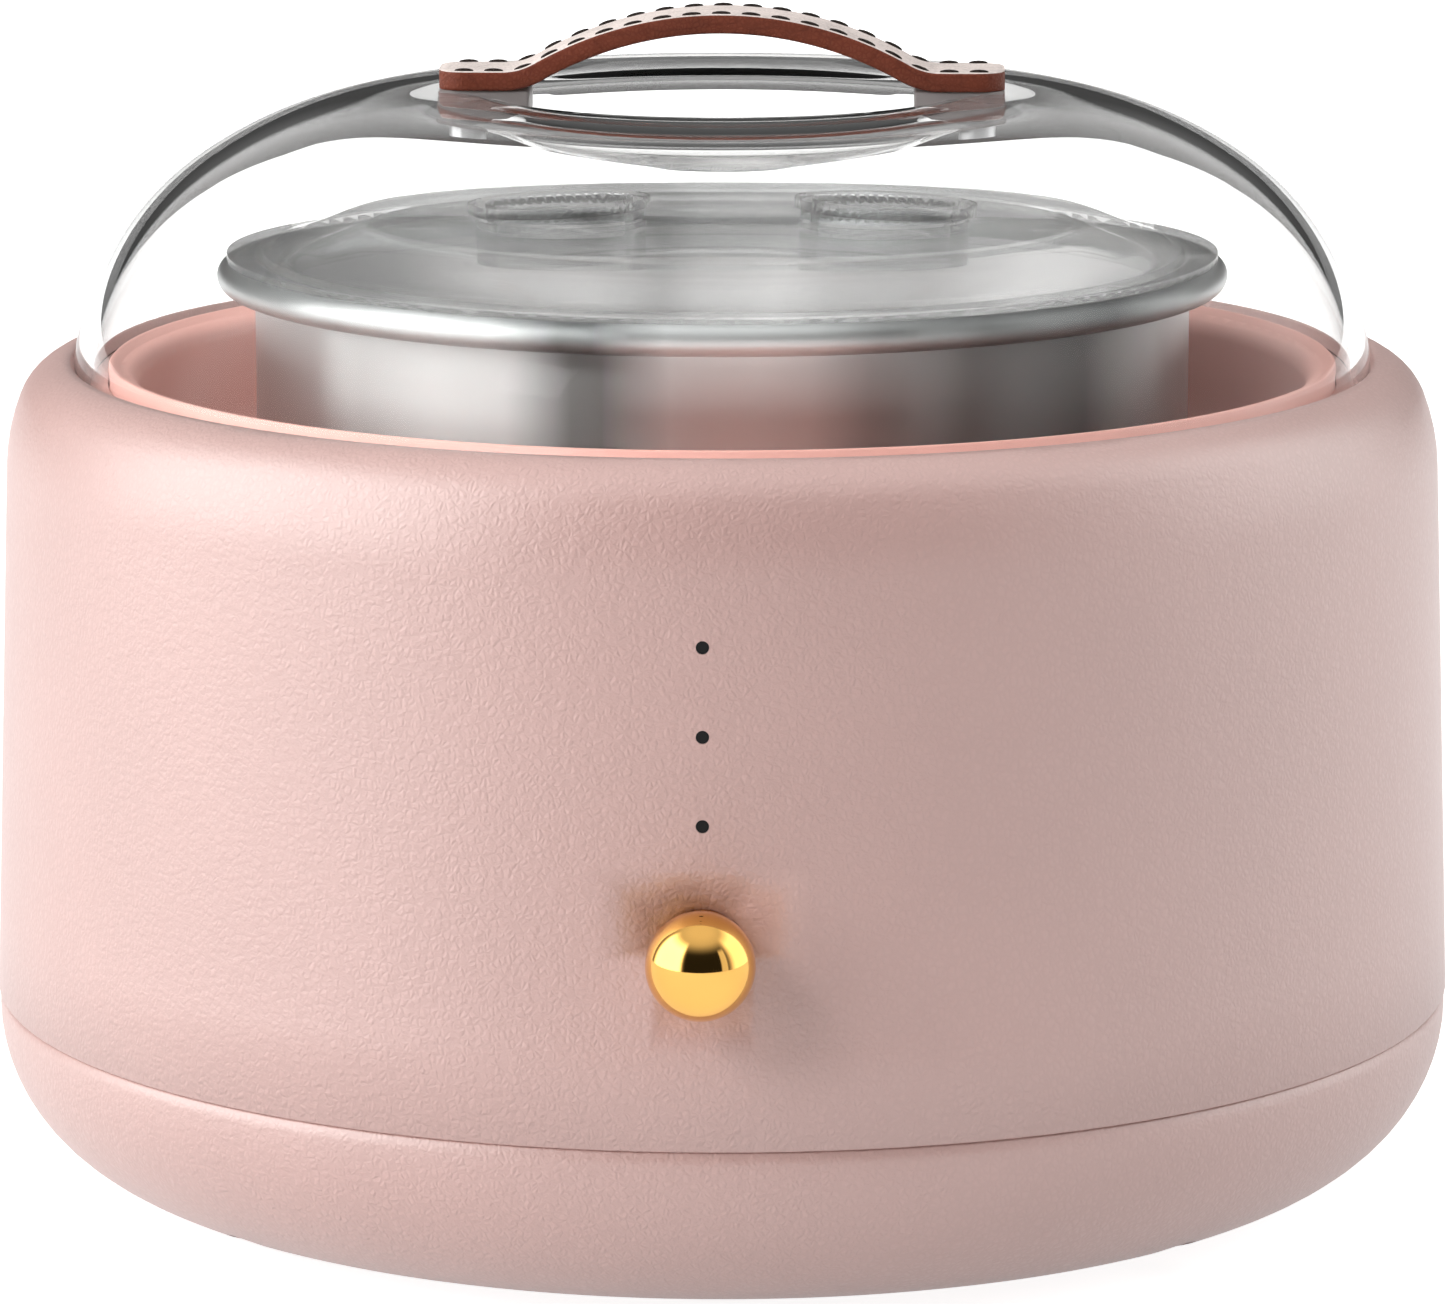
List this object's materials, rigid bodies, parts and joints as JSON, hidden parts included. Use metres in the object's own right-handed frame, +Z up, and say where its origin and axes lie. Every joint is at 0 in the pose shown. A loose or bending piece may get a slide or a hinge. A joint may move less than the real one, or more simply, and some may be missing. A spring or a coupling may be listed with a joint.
{
  "type": "wax warmer pot",
  "caption": "Round electric wax warmer with a lift-out metal pot, a splash lid with round spouts, a clear dome cover with a leather strap handle, and a ball button below level lights.",
  "frame": {"origin": "on the table, on the axis of the round casing, in the plane of the feet", "axes": "+Z up along the casing axis; the front with the button and lights faces -Y; the strap handle runs along X"},
  "size_m": [0.1844, 0.1982, 0.1476],
  "materials": {
    "casing_skin": "satin, pressed with a fine leather grain",
    "bezel_plastic": "smooth satin",
    "rubber": "matt",
    "seal_rubber": "matt silicone",
    "screw_steel": "plain zinc",
    "well_aluminium": "spun satin",
    "heater_steel": "oxidised",
    "brass": "plain",
    "cast_aluminium": "cast",
    "bakelite": "moulded",
    "sensor_glass": "glazed bead",
    "glass_wool": "woven glass fibre",
    "shield_aluminium": "bright rolled",
    "circuit_board": "solder resist",
    "relay_blue": "moulded",
    "capacitor_yellow": "moulded",
    "terminal_green": "moulded",
    "socket_white": "moulded",
    "inlet_black": "moulded",
    "light_body": "clear epoxy",
    "light_window": "smoked",
    "gold": "polished gold plate",
    "spring_steel": "spring steel",
    "lead_brown": "silicone sleeve",
    "lead_white": "glass-fibre sleeve",
    "lead_grey": "PVC",
    "pot_steel": "polished stainless",
    "lid_clear": "clear heat-resistant plastic",
    "cover_clear": "clear acrylic",
    "block_grey": "clear acrylic, greyish",
    "leather": "saddle brown, stitched edge"
  },
  "bodies": {
    "casing": {"upper_casing": "casing_skin", "lower_casing": "casing_skin", "bezel": "bezel_plastic", "rubber_feet": "rubber", "casing_screws": "screw_steel", "heating_well": "well_aluminium", "well_seal": "seal_rubber", "well_screws": "screw_steel", "heating_ring": "heater_steel", "heater_terminals": "brass", "heater_plate": "cast_aluminium", "heater_clamp": "screw_steel", "clamp_nut": "screw_steel", "thermal_cutout": "bakelite", "temperature_sensor": "sensor_glass", "insulation_sleeve": "glass_wool", "heat_shield": "shield_aluminium", "shield_screws": "screw_steel", "power_board": "circuit_board", "board_screws": "screw_steel", "relay": "relay_blue", "capacitor": "capacitor_yellow", "terminal_block": "terminal_green", "board_sockets": "socket_white", "power_inlet": "inlet_black", "inlet_pins": "brass", "control_board": "circuit_board", "control_screws": "screw_steel", "level_lights": "light_body", "light_pipes": "light_window", "push_switch": "inlet_black", "button_bush": "gold", "bush_nut": "brass", "button_spring": "spring_steel", "inlet_leads": "lead_brown", "heater_leads": "lead_white", "sensor_lead": "lead_grey", "board_ribbon": "lead_grey"},
    "button": {"button_ball": "gold", "button_stem": "gold", "stem_clip": "spring_steel", "switch_plunger": "inlet_black"},
    "pot": {"wax_pot": "pot_steel"},
    "lid": {"splash_lid": "lid_clear"},
    "cover": {"dome_cover": "cover_clear", "strap_blocks": "block_grey", "strap_core": "spring_steel", "strap_lining": "leather", "strap_leather": "leather", "strap_screws": "screw_steel"}
  },
  "joints": [
    {"name": "pot_lift", "type": "slide", "parent": "casing", "child": "pot", "axis": [0, 0, 1], "range_m": [0, 0.07]},
    {"name": "lid_lift", "type": "slide", "parent": "pot", "child": "lid", "axis": [0, 0, 1], "range_m": [0, 0.03]},
    {"name": "cover_lift", "type": "slide", "parent": "lid", "child": "cover", "axis": [0, 0, 1], "range_m": [0, 0.045]},
    {"name": "button_press", "type": "slide", "parent": "casing", "child": "button", "axis": [0, 1, 0], "range_m": [0, 0.0015], "stiffness_N_per_m": 300, "springref_m": -0.001, "deforming": ["button_spring"]}
  ]
}
